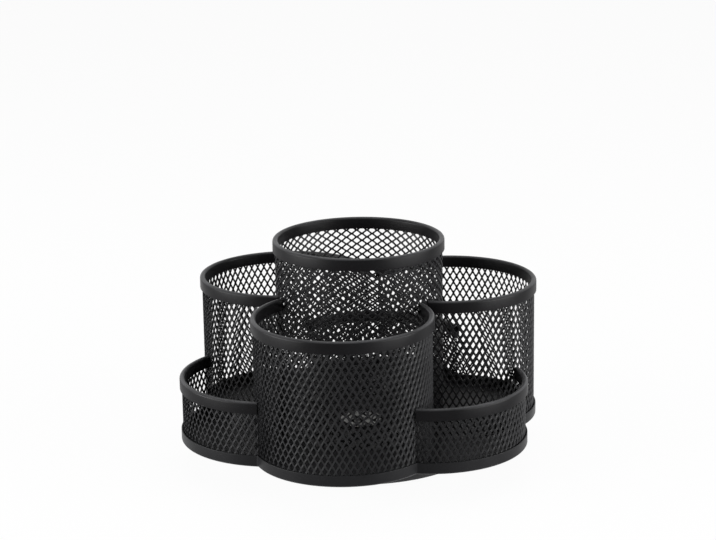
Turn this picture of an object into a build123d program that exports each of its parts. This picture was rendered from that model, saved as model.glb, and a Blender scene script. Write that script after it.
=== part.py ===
from build123d import *
import os
from math import acos, atan2, cos, degrees, hypot, radians, sin

os.makedirs("parts", exist_ok=True)

# A round desk carousel in black steel mesh. One tall centre cup is ringed by three
# half-height cups and three low trays. They are welded to a six-lobed pan, which turns
# on the hub of a low round base. The origin is on the turning axis at desk level,
# +Z is up and the front cup faces -Y.

# ---------------------------------------------------------------- driving sizes, mm
# compartments: radii are to the middle of the mesh, tops are above the desk
core_radius = 38.5
core_top = 101.9
cup_radius = 40.0
cup_offset = 45.0
cup_top = 77.5
tray_radius = 43.0
tray_offset = 42.0
tray_top = 41.5

# expanded mesh: diamonds lie flat on the centre cup and stand upright on the others
mesh_thickness = 0.8
mesh_border = 1.2
core_pitch_round = 21.0
core_pitch_up = 14.5
core_strand = 2.2
cup_pitch_round = 12.8
cup_pitch_up = 21.0
cup_strand = 2.0
tray_pitch_round = 8.6
tray_pitch_up = 11.6
tray_strand = 1.6

# steel strip folded over the top edge of each wall
rim_height = 5.5
rim_sheet = 0.7
seat_gap = 0.2
weld_gap = 0.1

# six-lobed pan
pan_sheet = 0.8
skirt_height = 5.3
skirt_sheet = 0.6
pan_bevel = 0.5
cusp_radius = 1.2

# moulded base
base_radius = 55.0
base_underside = 0.8
base_height = 8.6
base_wall = 2.0
base_bevel = 1.0
hub_radius = 6.0
rib_count = 8
rib_thickness = 1.5
rib_depth = 3.5

# square rubber pads in sockets under the base
pad_count = 4
pad_width = 12.0
pad_thickness = 2.0
pad_ring_radius = 43.5
pad_gap = 0.1
socket_wall = 1.5

# nylon bush: a barrel through the pan and a wide flange between pan and base
flange_radius = 30.0
flange_thickness = 1.75
bush_wall = 1.6
bush_stand = 0.8
journal_gap = 0.06
running_gap = 0.05
press_gap = 0.02
end_play = 0.1

# washer and screw on top of the hub
washer_radius = 9.5
washer_thickness = 1.0
screw_radius = 2.0
screw_length = 9.0
screw_head_radius = 4.2
screw_head_height = 1.8
screw_slot_width = 1.1
screw_slot_depth = 0.9

# ---------------------------------------------------------------- levels and places
base_top = base_underside + base_height
pan_underside = base_top + running_gap + flange_thickness
pan_floor = pan_underside + pan_sheet
skirt_top = pan_underside + skirt_height
bush_top = pan_floor + bush_stand
hub_top = bush_top + end_play
washer_top = hub_top + washer_thickness

half_mesh = mesh_thickness / 2
channel_half = half_mesh + seat_gap
rim_half = channel_half + rim_sheet
skirt_half = channel_half + skirt_sheet
butt_gap = half_mesh + weld_gap
bush_radius = hub_radius + journal_gap + bush_wall

# turn of each compartment about the axis, counted from the front
cups = {"front": 0, "right": 120, "left": 240}
trays = {"right": 60, "back": 180, "left": 300}
between_lobes = 60
axis_point = (0, 0)
cup_centre = (0, -cup_offset)
tray_centre = (0, -tray_offset)
cups_beside_tray = [
    (side * cup_offset * sin(radians(between_lobes)), -cup_offset * cos(radians(between_lobes)))
    for side in (-1, 1)
]


def corner_angle(side, other_side, opposite):
    """Angle in degrees between two sides of a triangle, from the length of the third."""
    cosine = (side**2 + other_side**2 - opposite**2) / (2 * side * other_side)
    return degrees(acos(cosine))


def cup_half_arc():
    """From a cup's outermost point to where its wall meets the centre cup."""
    return 180 - corner_angle(cup_offset, cup_radius, core_radius + butt_gap)


def tray_half_arc():
    """From a tray's outermost point to where its wall meets the cup beside it."""
    across = cups_beside_tray[1][0]
    along = -cups_beside_tray[1][1] - tray_offset
    towards_cup = degrees(atan2(across, along))
    return towards_cup - corner_angle(hypot(across, along), tray_radius, cup_radius + butt_gap)


class Wall:
    """One compartment's wall, seen from above as an arc about its own centre.

    The mesh is folded a little at each column of its diamonds. Its corners stand as
    far outside the true circle as its flats lie inside. The middle of the arc is the
    compartment's outermost point, on -Y, and the centre cup's arc closes on itself.
    """

    def __init__(self, centre, radius, half_arc, top, pitch_round, pitch_up, strand):
        self.centre = centre
        self.radius = radius
        self.top = top
        self.strand = strand
        self.closed = half_arc == 180
        self.border = 0 if self.closed else mesh_border
        length = 2 * (radians(half_arc) * radius - self.border)
        self.folds = 2 * round(length / pitch_round)
        self.step_round = length / self.folds
        self.turn = degrees(self.step_round / radius)
        self.first = -90 - self.turn * self.folds / 2
        self.low = pan_floor + 2 * mesh_border if self.closed else skirt_top + mesh_border
        high = top - rim_height - mesh_border
        self.rows = max(round(2 * (high - self.low) / pitch_up), 3)
        self.step_up = (high - self.low) / self.rows

    def point(self, radius, angle):
        """A point at an angle in degrees from +X about the compartment's centre."""
        x = self.centre[0] + radius * cos(radians(angle))
        y = self.centre[1] + radius * sin(radians(angle))
        return (x, y)

    def trim(self):
        """Cuts the sketch being drawn where the wall butts against its neighbours."""
        if not self.closed:
            Circle(core_radius + butt_gap, mode=Mode.SUBTRACT)
        if self.centre == tray_centre:
            with Locations(*cups_beside_tray):
                Circle(cup_radius + butt_gap, mode=Mode.SUBTRACT)

    def folded(self, half_width, level):
        """The folded outline of the mesh, past both ends of the arc."""
        spread = 2 / (1 + cos(radians(self.turn / 2)))
        angles = [self.first + self.turn * fold for fold in range(self.folds + 1)]
        if not self.closed:
            past = self.turn + degrees(self.border / self.radius)
            angles = [angles[0] - past, *angles, angles[-1] + past]
        outer = [self.point((self.radius + half_width) * spread, a) for a in angles]
        inner = [self.point((self.radius - half_width) * spread, a) for a in angles]
        with BuildSketch(Plane.XY.offset(level)) as outline:
            if self.closed:
                Polygon(*outer[:-1], align=None)
                Polygon(*inner[:-1], align=None, mode=Mode.SUBTRACT)
            else:
                Polygon(*outer, *reversed(inner), align=None)
        return outline.sketch

    def mesh(self):
        """The strip of expanded mesh, pierced by its staggered diamonds."""
        slant = hypot(self.step_round, self.step_up)
        half_round = self.step_round - self.strand / 2 * slant / self.step_up
        half_up = self.step_up - self.strand / 2 * slant / self.step_round
        inside = (self.radius - mesh_thickness) * cos(radians(self.turn))
        with BuildPart() as wall:
            with BuildSketch(Plane.XY.offset(pan_floor)):
                add(self.folded(half_mesh, 0))
                self.trim()
            extrude(amount=self.top - rim_sheet - seat_gap - pan_floor)
            for parity in (0, 1):
                angles = [
                    self.first + self.turn * fold
                    for fold in range(2 - parity, self.folds + self.closed, 2)
                ]
                columns = [
                    Plane(
                        origin=(*self.point(inside, a), 0),
                        x_dir=(-sin(radians(a)), cos(radians(a)), 0),
                        z_dir=(cos(radians(a)), sin(radians(a)), 0),
                    )
                    for a in angles
                ]
                rows = [(0, self.low + self.step_up * row) for row in range(2 - parity, self.rows, 2)]
                with BuildSketch(*columns) as openings:
                    with Locations(*rows):
                        Polygon((half_round, 0), (0, half_up), (-half_round, 0), (0, -half_up))
                extrude(openings.sketch, amount=self.radius + mesh_thickness - inside, mode=Mode.SUBTRACT)
        return wall.part

    def rim(self):
        """The steel strip folded over the mesh: a channel open downwards."""
        with BuildPart() as edge:
            with BuildSketch(Plane.XY.offset(self.top - rim_height)):
                with Locations(self.centre):
                    Circle(self.radius + rim_half)
                    Circle(self.radius - rim_half, mode=Mode.SUBTRACT)
                self.trim()
            extrude(amount=rim_height)
            channel = self.folded(channel_half, self.top - rim_height)
            extrude(channel, amount=rim_height - rim_sheet, mode=Mode.SUBTRACT)
        return edge.part


def place(shape, angle, name):
    """Turns a copy of a piece to its place round the axis and writes it."""
    with BuildPart() as placed:
        add(shape.rotate(Axis.Z, angle))
    placed.part.label = name
    export_step(placed.part, f"parts/{name}.step")


# ---------------------------------------------------------------- walls and rims
core = Wall(axis_point, core_radius, 180, core_top, core_pitch_round, core_pitch_up, core_strand)
place(core.mesh(), 0, "centre_cup_wall")
place(core.rim(), 0, "centre_cup_rim")

cup = Wall(
    cup_centre, cup_radius, cup_half_arc(), cup_top, cup_pitch_round, cup_pitch_up, cup_strand
)
cup_mesh, cup_rim = cup.mesh(), cup.rim()
for side, angle in cups.items():
    place(cup_mesh, angle, f"{side}_cup_wall")
    place(cup_rim, angle, f"{side}_cup_rim")

tray = Wall(
    tray_centre, tray_radius, tray_half_arc(), tray_top, tray_pitch_round, tray_pitch_up, tray_strand
)
tray_mesh, tray_rim = tray.mesh(), tray.rim()
for side, angle in trays.items():
    place(tray_mesh, angle, f"{side}_tray_wall")
    place(tray_rim, angle, f"{side}_tray_rim")


# ---------------------------------------------------------------- pan
def lobes(half_width, level, cusp=0):
    """The outline of all six compartments, widened past the middle of their walls."""
    with BuildSketch(Plane.XY.offset(level)) as outline:
        with PolarLocations(cup_offset, len(cups), start_angle=-90):
            Circle(cup_radius + half_width)
        with PolarLocations(tray_offset, len(trays), start_angle=between_lobes - 90):
            Circle(tray_radius + half_width)
        if cusp:
            fillet(outline.vertices(), cusp)
    return outline.sketch


with BuildPart() as pan:
    extrude(lobes(skirt_half, pan_underside, cusp_radius), amount=skirt_height)
    chamfer(pan.edges().group_by(Axis.Z)[0], pan_bevel)
    extrude(lobes(channel_half, pan_floor), amount=skirt_height, mode=Mode.SUBTRACT)
    with Locations((0, 0, pan_floor)):
        Hole(bush_radius + press_gap)
pan.part.label = "pan"
export_step(pan.part, "parts/pan.step")

# ---------------------------------------------------------------- bush in the pan
with BuildPart() as pivot_bush:
    with BuildSketch(Plane.XY.offset(base_top + running_gap)):
        Circle(flange_radius)
    extrude(amount=flange_thickness)
    with BuildSketch(Plane.XY.offset(pan_underside)):
        Circle(bush_radius)
    extrude(amount=bush_top - pan_underside)
    with Locations((0, 0, bush_top)):
        Hole(hub_radius + journal_gap)
pivot_bush.part.label = "pivot_bush"
export_step(pivot_bush.part, "parts/pivot_bush.step")

# ---------------------------------------------------------------- base
with BuildPart() as base:
    with BuildSketch(Plane.XY.offset(base_underside)):
        Circle(base_radius)
    extrude(amount=base_height)
    chamfer(base.edges().group_by(Axis.Z)[-1], base_bevel)
    with BuildSketch(Plane.XY.offset(base_underside)):
        Circle(base_radius - base_wall)
    extrude(amount=base_height - base_wall, mode=Mode.SUBTRACT)
    # sockets for the pads, ribs out to the wall and the hub that the pan turns on
    with BuildSketch(Plane.XY.offset(base_underside)):
        with PolarLocations(pad_ring_radius, pad_count, start_angle=45):
            Rectangle(*[pad_width + 2 * (pad_gap + socket_wall)] * 2)
    extrude(amount=base_height - base_wall)
    with BuildSketch(Plane.XY.offset(base_top - base_wall - rib_depth)):
        with PolarLocations(0, rib_count):
            Rectangle(base_radius - base_wall / 2, rib_thickness, align=(Align.MIN, Align.CENTER))
    extrude(amount=rib_depth)
    with BuildSketch(Plane.XY.offset(base_underside)):
        Circle(hub_radius)
    extrude(amount=hub_top - base_underside)
    with BuildSketch(Plane.XY.offset(base_underside)):
        with PolarLocations(pad_ring_radius, pad_count, start_angle=45):
            Rectangle(*[pad_width + 2 * pad_gap] * 2)
    extrude(amount=pad_thickness - base_underside, mode=Mode.SUBTRACT)
    with Locations((0, 0, hub_top)):
        Hole(screw_radius + press_gap, depth=screw_length)
base.part.label = "base"
export_step(base.part, "parts/base.step")

# ---------------------------------------------------------------- rubber pads
with BuildPart() as foot_pads:
    with BuildSketch():
        with PolarLocations(pad_ring_radius, pad_count, start_angle=45):
            Rectangle(pad_width, pad_width)
    extrude(amount=pad_thickness)
foot_pads.part.label = "foot_pads"
export_step(foot_pads.part, "parts/foot_pads.step")

# ---------------------------------------------------------------- washer and screw
with BuildPart() as pivot_washer:
    with BuildSketch(Plane.XY.offset(hub_top)):
        Circle(washer_radius)
        Circle(screw_radius + press_gap, mode=Mode.SUBTRACT)
    extrude(amount=washer_thickness)
pivot_washer.part.label = "pivot_washer"
export_step(pivot_washer.part, "parts/pivot_washer.step")

with BuildPart() as pivot_screw:
    with BuildSketch(Plane.XY.offset(washer_top)):
        Circle(screw_head_radius)
    extrude(amount=screw_head_height)
    with BuildSketch(Plane.XY.offset(washer_top + screw_head_height)):
        Rectangle(2 * screw_head_radius, screw_slot_width)
    extrude(amount=-screw_slot_depth, mode=Mode.SUBTRACT)
    with BuildSketch(Plane.XY.offset(washer_top)):
        Circle(screw_radius)
    extrude(amount=-screw_length)
pivot_screw.part.label = "pivot_screw"
export_step(pivot_screw.part, "parts/pivot_screw.step")
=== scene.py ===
import bpy
from math import acos, atan2, ceil, cos, degrees, hypot, pi, radians, sin
from mathutils import Matrix, Vector


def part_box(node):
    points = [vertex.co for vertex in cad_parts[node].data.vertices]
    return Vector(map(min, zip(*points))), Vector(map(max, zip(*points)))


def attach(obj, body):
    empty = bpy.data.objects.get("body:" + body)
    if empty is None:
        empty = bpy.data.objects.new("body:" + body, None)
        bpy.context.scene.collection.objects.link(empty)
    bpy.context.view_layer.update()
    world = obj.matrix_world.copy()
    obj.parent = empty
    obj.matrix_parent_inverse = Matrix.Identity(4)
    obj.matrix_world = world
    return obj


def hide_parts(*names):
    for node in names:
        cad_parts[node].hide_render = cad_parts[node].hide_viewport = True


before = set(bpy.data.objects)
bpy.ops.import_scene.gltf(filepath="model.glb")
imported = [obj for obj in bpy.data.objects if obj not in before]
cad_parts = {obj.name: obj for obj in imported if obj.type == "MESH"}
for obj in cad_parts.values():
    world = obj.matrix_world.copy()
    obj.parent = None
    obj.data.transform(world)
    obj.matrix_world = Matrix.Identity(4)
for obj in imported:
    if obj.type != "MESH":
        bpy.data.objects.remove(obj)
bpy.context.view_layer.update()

# ---------------------------------------------------------------- base
# The base is one low round moulding in black plastic with a satin, very finely
# grained face. It stands still on the desk under the pan and shows as a dark band.
# Lengths are in metres, here and in all sections below.


def activate(piece):
    """Makes one object the only one that is selected."""
    bpy.ops.object.select_all(action="DESELECT")
    bpy.context.view_layer.objects.active = piece
    piece.select_set(True)


def add_object(name, data):
    """A new object in the scene that holds this mesh, lamp or camera."""
    added = bpy.data.objects.new(name, data)
    bpy.context.scene.collection.objects.link(added)
    return added


def pick(piece, chosen):
    """Opens a piece in edit mode with the vertices selected whose place passes a test."""
    if bpy.context.mode != "OBJECT":
        bpy.ops.object.mode_set(mode="OBJECT")
    activate(piece)
    bpy.ops.object.mode_set(mode="EDIT")
    bpy.ops.mesh.select_mode(type="VERT")
    bpy.ops.mesh.select_all(action="DESELECT")
    bpy.ops.object.mode_set(mode="OBJECT")
    for vertex in piece.data.vertices:
        vertex.select = chosen(vertex.co)
    bpy.ops.object.mode_set(mode="EDIT")


def pick_all(piece):
    """Opens a piece in edit mode with all of it selected."""
    pick(piece, lambda co: True)


def apply_modifiers(piece):
    activate(piece)
    for name in [modifier.name for modifier in piece.modifiers]:
        bpy.ops.object.modifier_apply(modifier=name)


def settle(piece, place):
    """Puts a piece at its place in its mesh, its object at the origin, and shades it."""
    smooth_below = radians(35)
    piece.matrix_world = place
    activate(piece)
    bpy.ops.object.transform_apply(location=True, rotation=True, scale=True)
    bpy.ops.object.shade_smooth_by_angle(angle=smooth_below)


def softened_copy(node, name, edge_width):
    """A copy of a CAD node, merged to clean faces, with its sharp edges rounded."""
    same_point = 0.000002
    same_plane = radians(0.5)
    sharp_above = radians(40)
    piece = add_object(name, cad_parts[node].data.copy())
    pick_all(piece)
    bpy.ops.mesh.remove_doubles(threshold=same_point)
    bpy.ops.mesh.dissolve_limited(angle_limit=same_plane)
    bpy.ops.mesh.select_all(action="SELECT")
    bpy.ops.mesh.normals_make_consistent(inside=False)
    bpy.ops.object.mode_set(mode="OBJECT")
    bevel = piece.modifiers.new("rounded edges", "BEVEL")
    bevel.width = edge_width
    bevel.segments = 2
    bevel.limit_method = "ANGLE"
    bevel.angle_limit = sharp_above
    apply_modifiers(piece)
    settle(piece, Matrix())
    # broad faces stay flat up to their rounded edges
    flat = piece.modifiers.new("flat faces", "WEIGHTED_NORMAL")
    flat.keep_sharp = True
    apply_modifiers(piece)
    return piece


def calculate(tree, operation, *values):
    """The result of a math node on one or more values, each a socket or a plain number."""
    node = tree.nodes.new("ShaderNodeMath")
    node.operation = operation
    for value, socket in zip(values, node.inputs):
        if isinstance(value, (int, float)):
            socket.default_value = value
        else:
            tree.links.new(value, socket)
    return node.outputs[0]


def powder_group():
    """Grain, soft cloudiness and a painted highlight along an edge, for a sprayed or moulded black
    face.

    The edge is the band within a depth of one level, where the face is painted paler as a
    highlight and made smoother.
    """
    group = bpy.data.node_groups.new("sprayed_coat", "ShaderNodeTree")
    for name, way, kind in (
        ("Grain Size", "INPUT", "NodeSocketFloat"),
        ("Cloud Size", "INPUT", "NodeSocketFloat"),
        ("Dark", "INPUT", "NodeSocketColor"),
        ("Light", "INPUT", "NodeSocketColor"),
        ("Painted Highlight", "INPUT", "NodeSocketColor"),
        ("Smooth", "INPUT", "NodeSocketFloat"),
        ("Rough", "INPUT", "NodeSocketFloat"),
        ("Edge Level", "INPUT", "NodeSocketFloat"),
        ("Edge Depth", "INPUT", "NodeSocketFloat"),
        ("Colour", "OUTPUT", "NodeSocketColor"),
        ("Roughness", "OUTPUT", "NodeSocketFloat"),
        ("Height", "OUTPUT", "NodeSocketFloat"),
    ):
        group.interface.new_socket(name, in_out=way, socket_type=kind)
    nodes = group.nodes
    link = group.links.new
    start = nodes.new("NodeGroupInput").outputs
    end = nodes.new("NodeGroupOutput").inputs
    place = nodes.new("ShaderNodeTexCoord").outputs["Object"]

    def noise(size, detail):
        """Noise that is fixed to the piece."""
        texture = nodes.new("ShaderNodeTexNoise")
        texture.inputs["Detail"].default_value = detail
        link(place, texture.inputs["Vector"])
        link(size, texture.inputs["Scale"])
        return texture.outputs["Fac"]

    def blend(kind, share, first, second):
        """The mix of two values or two colours, whose sockets stand apart on the node."""
        first_socket, second_socket, result = {"FLOAT": (2, 3, 0), "RGBA": (6, 7, 2)}[kind]
        mix = nodes.new("ShaderNodeMix")
        mix.data_type = kind
        link(share, mix.inputs[0])
        link(first, mix.inputs[first_socket])
        link(second, mix.inputs[second_socket])
        return mix.outputs[result]

    grain = noise(start["Grain Size"], detail=2.0)
    cloud = noise(start["Cloud Size"], detail=3.0)

    # the painted highlight band: full at the level, gone at the depth, and broken up by the clouds
    height = nodes.new("ShaderNodeSeparateXYZ")
    link(place, height.inputs[0])
    away = calculate(group, "SUBTRACT", height.outputs["Z"], start["Edge Level"])
    band = nodes.new("ShaderNodeMapRange")
    link(calculate(group, "ABSOLUTE", away), band.inputs["Value"])
    link(start["Edge Depth"], band.inputs["From Max"])
    band.inputs["To Min"].default_value = 1.0
    band.inputs["To Max"].default_value = 0.0
    painted_highlight = calculate(group, "MULTIPLY", band.outputs[0], cloud)

    # the clouds run from dark and smooth to light and rough
    face = blend("RGBA", cloud, start["Dark"], start["Light"])
    sheen = nodes.new("ShaderNodeMapRange")
    link(cloud, sheen.inputs["Value"])
    sheen.inputs["From Min"].default_value = 0.3
    sheen.inputs["From Max"].default_value = 0.7
    link(start["Smooth"], sheen.inputs["To Min"])
    link(start["Rough"], sheen.inputs["To Max"])

    # the band paints a paler highlight colour over the face and makes it smoother
    link(blend("RGBA", painted_highlight, face, start["Painted Highlight"]), end["Colour"])
    link(blend("FLOAT", painted_highlight, sheen.outputs[0], start["Smooth"]), end["Roughness"])
    link(grain, end["Height"])
    return group


sprayed_coat = powder_group()


def finish(
    name, dark, light, smooth, rough, grain, bump,
    specular=0.5, metal=0.0, painted_highlight=(0.05, 0.05, 0.052), edge_level=-1.0, edge_depth=0.0005,
):
    """A material with this finish's own colours, sheen, grain and painted highlight along an edge.

    When no edge level is given, it lies far below the piece and no highlight is painted.
    """
    cloud_size = 55.0
    grain_relief = 0.0001
    material = bpy.data.materials.new(name)
    material.use_nodes = True
    nodes = material.node_tree.nodes
    link = material.node_tree.links.new
    shader = nodes["Principled BSDF"]
    shader.inputs["Specular IOR Level"].default_value = specular
    shader.inputs["Metallic"].default_value = metal
    film = nodes.new("ShaderNodeGroup")
    film.node_tree = sprayed_coat
    for socket, value in (
        ("Grain Size", grain),
        ("Cloud Size", cloud_size),
        ("Dark", (*dark, 1)),
        ("Light", (*light, 1)),
        ("Painted Highlight", (*painted_highlight, 1)),
        ("Smooth", smooth),
        ("Rough", rough),
        ("Edge Level", edge_level),
        ("Edge Depth", edge_depth),
    ):
        film.inputs[socket].default_value = value
    peel = nodes.new("ShaderNodeBump")
    peel.inputs["Strength"].default_value = bump
    peel.inputs["Distance"].default_value = grain_relief
    link(film.outputs["Colour"], shader.inputs["Base Color"])
    link(film.outputs["Roughness"], shader.inputs["Roughness"])
    link(film.outputs["Height"], peel.inputs["Height"])
    link(peel.outputs["Normal"], shader.inputs["Normal"])
    return material


def dress(piece, material):
    piece.data.materials.clear()
    piece.data.materials.append(material)


base_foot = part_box("base")[0].z
# a paler band along the base's foot is a painted highlight
base_plastic = finish(
    "base_plastic", dark=(0.007, 0.007, 0.0075), light=(0.012, 0.012, 0.0125), smooth=0.38,
    rough=0.5, grain=1800.0, bump=0.25, specular=0.2, edge_level=base_foot, edge_depth=0.0008,
)
base_piece = softened_copy("base", "turntable_base", edge_width=0.0003)
dress(base_piece, base_plastic)
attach(base_piece, "base")
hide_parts("base")

# ---------------------------------------------------------------- rubber pads
# Four squares of black rubber sit in sockets under the base and keep it from sliding.
# They are die-cut from sheet, so their faces are matt and their edges are square.
rubber = finish(
    "pad_rubber", dark=(0.014, 0.014, 0.014), light=(0.028, 0.028, 0.027), smooth=0.7,
    rough=0.9, grain=900.0, bump=0.4, specular=0.3,
)
dress(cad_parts["foot_pads"], rubber)

# ---------------------------------------------------------------- bush, washer and screw
# A natural nylon bush turns on the hub. A zinc-plated washer and slotted screw on top
# of the hub hold the pan down; both show only from above, at the bottom of the cup.
nylon = finish(
    "bush_nylon", dark=(0.62, 0.60, 0.55), light=(0.72, 0.70, 0.66), smooth=0.45,
    rough=0.6, grain=600.0, bump=0.1,
)
dress(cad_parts["pivot_bush"], nylon)
zinc = finish(
    "zinc_plate", dark=(0.16, 0.16, 0.16), light=(0.26, 0.26, 0.25), smooth=0.42,
    rough=0.6, grain=1500.0, bump=0.15, metal=1.0,
)
for node, slot in (("pivot_washer", "washer"), ("pivot_screw", "screw")):
    plated = softened_copy(node, node + "_plated", edge_width=0.00015)
    dress(plated, zinc)
    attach(plated, "base")
    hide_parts(node)

# ---------------------------------------------------------------- pan
# The pan is pressed from sheet steel with six lobes and an upturned skirt, and sprayed
# semi-gloss black. The skirt hides the cut foot of the mesh.
pan_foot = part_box("pan")[0].z
# a paler band along the pan's lowest edge is a painted highlight
pan_coat = finish(
    "pan_coat", dark=(0.0035, 0.0035, 0.004), light=(0.008, 0.008, 0.0088), smooth=0.34,
    rough=0.46, grain=2600.0, bump=0.18, specular=0.11, painted_highlight=(0.08, 0.08, 0.083),
    edge_level=pan_foot, edge_depth=0.0008,
)
pan_piece = softened_copy("pan", "six_lobed_pan", edge_width=0.0002)
dress(pan_piece, pan_coat)
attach(pan_piece, "carousel")
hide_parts("pan")

# ---------------------------------------------------------------- centre cup
# The tall cup is a strip of expanded steel closed to a ring: slit, pulled open so that
# each strand leans a little, and sprayed black. Its diamonds lie flat. A steel strip is
# folded over the top edge, and the foot stands on the pan and is welded there.
sheet_thickness = 0.0004
strand_width = 0.00066
strand_lean = 0.00015
tip_blunting = 0.84
foot_level = 0.0121
core_radius = 0.0385
core_top = 0.1019
core_diamond_across = 0.0049
core_diamond_up = 0.0034

rim_width = 0.0026
rim_height = 0.0055
rim_thickness = 0.0007
rim_fold_radius = 0.0008
rim_edge_rounding = 0.0001
hidden_in_rim = 0.0015


def diamond_sheet(name, width, low, high, across, up, upright, closed=False):
    """A flat sheet of expanded mesh in the XZ plane, cut to size, still without thickness.

    One diamond is across wide and up high, from middle to middle of its strands.
    """
    nearly_outline = 0.49
    off_middle = 0.000001
    same_point = 0.00002
    bpy.ops.mesh.primitive_circle_add(
        vertices=8, radius=1, fill_type="NGON", rotation=(pi / 2, 0, 0)
    )
    piece = bpy.context.active_object
    piece.name = piece.data.name = name
    bpy.ops.object.transform_apply(location=True, rotation=True, scale=True)
    # the four corners stay, and the points between them move onto the straight sides
    pick(piece, lambda co: abs(co.x) > 0.1 and abs(co.z) > 0.1)
    bpy.ops.transform.resize(value=(cos(pi / 4), 1, cos(pi / 4)))
    bpy.ops.mesh.select_all(action="SELECT")
    bpy.ops.transform.resize(value=(across / 2, 1, up / 2))
    bpy.ops.mesh.select_mode(type="FACE")
    bpy.ops.mesh.select_all(action="SELECT")
    bpy.ops.mesh.inset(thickness=strand_width / 2, use_even_offset=True)
    bpy.ops.mesh.delete(type="ONLY_FACE")

    def sideways(co):
        """The distance from the line through the two long tips."""
        return co.x if upright else co.z

    def at_opening(co):
        return abs(co.x) / across + abs(co.z) / up < nearly_outline

    # the long tips of the opening are blunt, and the strands beside it lean
    pick(piece, lambda co: at_opening(co) and abs(sideways(co)) < off_middle)
    bpy.ops.transform.resize(value=(tip_blunting, 1, tip_blunting))
    for side in (-1, 1):
        pick(piece, lambda co: at_opening(co) and side * sideways(co) > off_middle)
        bpy.ops.transform.translate(value=(0, side * strand_lean, 0))

    # a second diamond stands between four of the first, and the pair fills the sheet
    bpy.ops.mesh.select_all(action="SELECT")
    bpy.ops.mesh.duplicate()
    bpy.ops.transform.translate(value=(across / 2, 0, up / 2))
    bpy.ops.object.mode_set(mode="OBJECT")
    columns = round(width / across) if closed else ceil(width / across) + 1
    rows = ceil((high - low) / up) + 1
    for step, count in (((across, 0, 0), columns), ((0, 0, up), rows)):
        repeat = piece.modifiers.new("repeat", "ARRAY")
        repeat.use_relative_offset = False
        repeat.use_constant_offset = True
        repeat.constant_offset_displace = step
        repeat.count = count
    apply_modifiers(piece)
    pick_all(piece)
    bpy.ops.mesh.remove_doubles(threshold=same_point)
    bpy.ops.transform.translate(value=(-columns * across / 2, 0, low - up / 2))

    # the sheet is sheared off at its edges; a closed one keeps its ends, which meet
    cuts = [((0, 0, low), (0, 0, -1)), ((0, 0, high), (0, 0, 1))]
    if not closed:
        cuts += [((-width / 2, 0, 0), (-1, 0, 0)), ((width / 2, 0, 0), (1, 0, 0))]
    for point, normal in cuts:
        bpy.ops.mesh.select_all(action="SELECT")
        bpy.ops.mesh.bisect(plane_co=point, plane_no=normal, clear_outer=True, use_fill=False)
    bpy.ops.object.mode_set(mode="OBJECT")
    return piece


def roll_up(piece, radius):
    """Bends a flat sheet to an arc about the upright axis, its middle towards -Y."""
    same_point = 0.00002
    along = [vertex.co.x for vertex in piece.data.vertices]
    bend = piece.modifiers.new("bend", "SIMPLE_DEFORM")
    bend.deform_method = "BEND"
    bend.deform_axis = "Z"
    bend.angle = (max(along) - min(along)) / radius
    apply_modifiers(piece)
    pick_all(piece)
    bpy.ops.transform.translate(value=(0, -radius, 0))
    bpy.ops.mesh.remove_doubles(threshold=same_point)
    bpy.ops.mesh.select_all(action="SELECT")
    bpy.ops.mesh.normals_make_consistent(inside=False)
    bpy.ops.object.mode_set(mode="OBJECT")
    steel = piece.modifiers.new("sheet thickness", "SOLIDIFY")
    steel.thickness = sheet_thickness
    steel.offset = 0
    apply_modifiers(piece)


def folded_rim(name, radius, half_arc, top):
    """A strip folded over an edge: a channel open downwards, spun about the upright axis."""
    degrees_per_step = 3
    lower_edge = 0.4 * rim_height
    same_point = 0.00001
    sharp_above = radians(50)
    middle = top - rim_height / 2 - rim_thickness / 4
    bpy.ops.mesh.primitive_plane_add(size=1, rotation=(pi / 2, 0, 0), location=(radius, 0, middle))
    piece = bpy.context.active_object
    piece.name = piece.data.name = name
    piece.scale = (rim_width - rim_thickness, rim_height - rim_thickness / 2, 1)
    bpy.ops.object.transform_apply(location=True, rotation=True, scale=True)
    # the section of the strip: two rounded corners above, and no edge below
    pick(piece, lambda co: co.z > middle)
    bpy.ops.mesh.bevel(offset=rim_fold_radius, offset_type="OFFSET", segments=4, affect="VERTICES")
    bpy.ops.mesh.select_mode(type="FACE")
    bpy.ops.mesh.select_all(action="SELECT")
    bpy.ops.mesh.delete(type="ONLY_FACE")
    pick(piece, lambda co: co.z < middle - lower_edge)
    bpy.ops.mesh.select_mode(type="EDGE")
    bpy.ops.mesh.delete(type="EDGE")
    pick_all(piece)
    steps = round(degrees(2 * half_arc) / degrees_per_step)
    bpy.ops.mesh.spin(steps=steps, angle=2 * half_arc, center=(0, 0, 0), axis=(0, 0, 1))
    bpy.ops.mesh.select_all(action="SELECT")
    bpy.ops.mesh.remove_doubles(threshold=same_point)
    bpy.ops.mesh.normals_make_consistent(inside=False)
    bpy.ops.object.mode_set(mode="OBJECT")
    steel = piece.modifiers.new("strip thickness", "SOLIDIFY")
    steel.thickness = rim_thickness
    steel.offset = 0
    edges = piece.modifiers.new("rolled edges", "BEVEL")
    edges.width = rim_edge_rounding
    edges.segments = 1
    edges.limit_method = "ANGLE"
    edges.angle_limit = sharp_above
    apply_modifiers(piece)
    # the strip was spun clockwise from +X, and turns so that its middle faces -Y
    settle(piece, Matrix.Rotation(half_arc - pi / 2, 4, "Z"))
    return piece


def mount_wall(piece, node, material):
    """Gives a part of the carousel its finish and its place in the model."""
    dress(piece, material)
    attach(piece, "carousel")
    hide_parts(node)


def rim_finish(name, top):
    """Satin black on a rim, with a painted highlight along its top edge."""
    return finish(
        name, dark=(0.0022, 0.0021, 0.0024), light=(0.0048, 0.0046, 0.0052), smooth=0.32,
        rough=0.46, grain=2600.0, bump=0.2, specular=0.075, painted_highlight=(0.10, 0.10, 0.104),
        edge_level=top, edge_depth=0.0008,
    )


mesh_coat = finish(
    "mesh_coat", dark=(0.004, 0.004, 0.0044), light=(0.012, 0.012, 0.013), smooth=0.34,
    rough=0.48, grain=3200.0, bump=0.2, specular=0.13,
)

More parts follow.
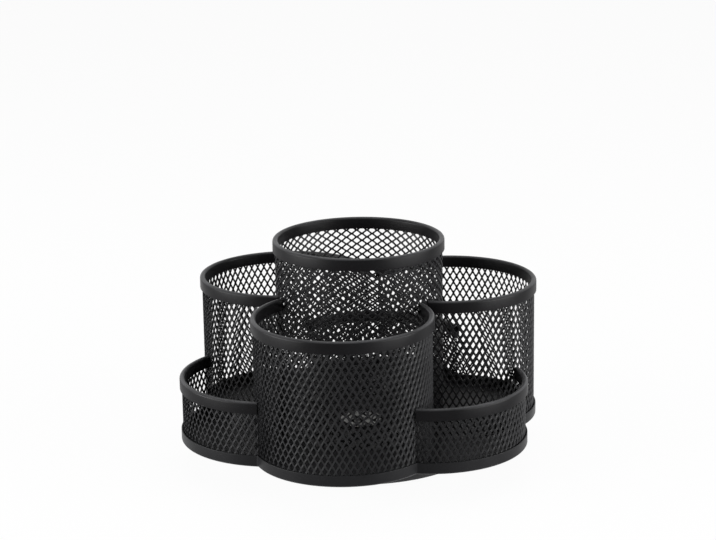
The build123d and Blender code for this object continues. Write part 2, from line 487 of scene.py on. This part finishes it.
# a whole number of diamonds goes round the ring
core_length = 2 * pi * core_radius
core_step = core_length / round(core_length / core_diamond_across)
core_mesh = diamond_sheet(
    "centre_cup_mesh", core_length, foot_level, core_top - hidden_in_rim,
    core_step, core_diamond_up, upright=False, closed=True,
)
roll_up(core_mesh, core_radius)
settle(core_mesh, Matrix())
mount_wall(core_mesh, "centre_cup_wall", mesh_coat)

core_rim = folded_rim("centre_cup_edge", core_radius, pi, core_top)
mount_wall(core_rim, "centre_cup_rim", rim_finish("centre_rim_coat", core_top))

# ---------------------------------------------------------------- side cups
# Three cups of half the height stand round the centre cup. Each wall is a strip of the
# same mesh with its diamonds upright, bent to most of a circle and welded by both ends to
# the centre cup. Its rim is the same folded strip, cut off where it meets that cup.
cup_radius = 0.040
cup_offset = 0.045
cup_top = 0.0775
side_diamond_across = 0.0032
side_diamond_up = 0.0058
cup_turns = {"front": 0, "right": 120, "left": 240}
# a wall's ends stop this far outside the middle of the sheet that they are welded to
end_clearance = 0.0004


def half_arc_to_wall(radius, offset, other_distance, other_radius, between):
    """From an arc's outermost point to where it meets a round wall beside or behind it.

    The arc's centre lies at an offset from the axis. The other wall's centre lies at its
    own distance from the axis, in a direction turned from the arc's by an angle.
    """
    along = other_distance * cos(between) - offset
    across = other_distance * sin(between)
    apart = hypot(along, across)
    towards = atan2(across, along)
    corner = acos((radius**2 + apart**2 - other_radius**2) / (2 * radius * apart))
    return towards - corner


def copy_round(piece, name, turn):
    """A copy with its own mesh, turned about the upright axis by an angle in degrees."""
    twin = add_object(name, piece.data.copy())
    settle(twin, Matrix.Rotation(radians(turn), 4, "Z"))
    return twin


def mount_round(kind, radius, offset, half_arc, top, turns):
    """Makes one open wall of upright mesh with its rim, and mounts a copy at each turn."""
    wall = diamond_sheet(
        kind + "_mesh", 2 * half_arc * radius, foot_level, top - hidden_in_rim,
        side_diamond_across, side_diamond_up, upright=True,
    )
    roll_up(wall, radius)
    settle(wall, Matrix.Translation((0, -offset, 0)))
    edge = folded_rim(kind + "_edge", radius, half_arc, top)
    settle(edge, Matrix.Translation((0, -offset, 0)))
    rim_coat = rim_finish(kind + "_rim_coat", top)
    for side, turn in turns.items():
        name = side + "_" + kind
        mount_wall(copy_round(wall, name + "_mesh", turn), name + "_wall", mesh_coat)
        mount_wall(copy_round(edge, name + "_edge", turn), name + "_rim", rim_coat)
    for pattern in (wall, edge):
        bpy.data.objects.remove(pattern)


cup_arc = half_arc_to_wall(
    cup_radius, cup_offset, other_distance=0, other_radius=core_radius + end_clearance, between=pi
)
mount_round("cup", cup_radius, cup_offset, cup_arc, cup_top, cup_turns)

# ---------------------------------------------------------------- trays
# Between the cups stand three low trays. Each is a short strip of the upright mesh with a
# folded rim, welded by its ends to the walls of the two cups beside it.
tray_radius = 0.043
tray_offset = 0.042
tray_top = 0.0415
tray_turns = {"right": 60, "back": 180, "left": 300}

tray_arc = half_arc_to_wall(
    tray_radius, tray_offset, other_distance=cup_offset,
    other_radius=cup_radius + end_clearance, between=radians(60),
)
mount_round("tray", tray_radius, tray_offset, tray_arc, tray_top, tray_turns)

# ---------------------------------------------------------------- stage
# The organizer stands on a wide white desk under soft light from both sides and above.
# The camera, polished faces and clear things see the white; the desk keeps the shadow.


def seen_directly(tree):
    """One for camera, glossy and transmission rays, and zero for light that spreads."""
    path = tree.nodes.new("ShaderNodeLightPath")
    total = path.outputs["Is Camera Ray"]
    for kind in ("Is Glossy Ray", "Is Transmission Ray"):
        total = calculate(tree, "MAXIMUM", total, path.outputs[kind])
    return total


def show_white(tree, white_kind, share, lit, surface):
    """Lays plain white over a lit surface, by a share, for the rays that see it directly."""
    white = tree.nodes.new(white_kind)
    white.inputs["Color"].default_value = (1, 1, 1, 1)
    white.inputs["Strength"].default_value = 1.0
    either = tree.nodes.new("ShaderNodeMixShader")
    tree.links.new(calculate(tree, "MULTIPLY", seen_directly(tree), share), either.inputs["Fac"])
    tree.links.new(lit, either.inputs[1])
    tree.links.new(white.outputs[0], either.inputs[2])
    tree.links.new(either.outputs["Shader"], surface)


# the desk
desk_size = 6
bpy.ops.mesh.primitive_plane_add(size=desk_size, location=(0, 0, 0))
desk = bpy.context.active_object
desk.name = "desk"
desk_white = bpy.data.materials.new("desk_white")
desk_white.use_nodes = True
desk_nodes = desk_white.node_tree.nodes
paint = desk_nodes["Principled BSDF"]
paint.inputs["Base Color"].default_value = (0.82, 0.82, 0.82, 1)
paint.inputs["Roughness"].default_value = 0.55
paint.inputs["Specular IOR Level"].default_value = 0.2
show_white(
    desk_white.node_tree, "ShaderNodeEmission", share=0.95,
    lit=paint.outputs["BSDF"], surface=desk_nodes["Material Output"].inputs["Surface"],
)
dress(desk, desk_white)

# the studio round it
studio = bpy.data.worlds.new("studio")
bpy.context.scene.world = studio
studio.use_nodes = True
studio_nodes = studio.node_tree.nodes
sky = studio_nodes["Background"]
sky.inputs["Color"].default_value = (0.8, 0.81, 0.83, 1)
sky.inputs["Strength"].default_value = 0.08
show_white(
    studio.node_tree, "ShaderNodeBackground", share=1.0,
    lit=sky.outputs["Background"], surface=studio_nodes["World Output"].inputs["Surface"],
)

# the lamps, all turned to a point inside the organizer; power in watts
lit_point = Vector((0, 0, 0.05))
for name, place, width, height, power in (
    ("left_softbox", (-0.95, -0.44, 0.21), 0.9, 0.4, 21),
    ("right_softbox", (1.03, -0.24, 0.21), 0.9, 0.4, 21),
    ("top_softbox", (0, 0.3, 1.05), 0.7, 0.7, 5),
):
    lamp = add_object(name, bpy.data.lights.new(name, "AREA"))
    lamp.data.shape = "RECTANGLE"
    lamp.data.size = width
    lamp.data.size_y = height
    lamp.data.energy = power
    lamp.location = place
    lamp.rotation_euler = (lit_point - Vector(place)).to_track_quat("-Z", "Y").to_euler()

# the camera, fitted to the rims, walls, pan and base in the picture
eye = Vector((0.1741, -0.9999, 0.3651))
heading = radians(9.90)
pitch = radians(15.37)
roll = radians(-0.89)
camera = add_object("camera", bpy.data.cameras.new("camera"))
camera.data.sensor_width = 36
camera.data.lens = 114.08
camera.matrix_world = (
    Matrix.Translation(eye)
    @ Matrix.Rotation(heading, 4, "Z")
    @ Matrix.Rotation(pi / 2 - pitch, 4, "X")
    @ Matrix.Rotation(roll, 4, "Z")
)
bpy.context.scene.camera = camera
bpy.context.scene.view_settings.view_transform = "Standard"
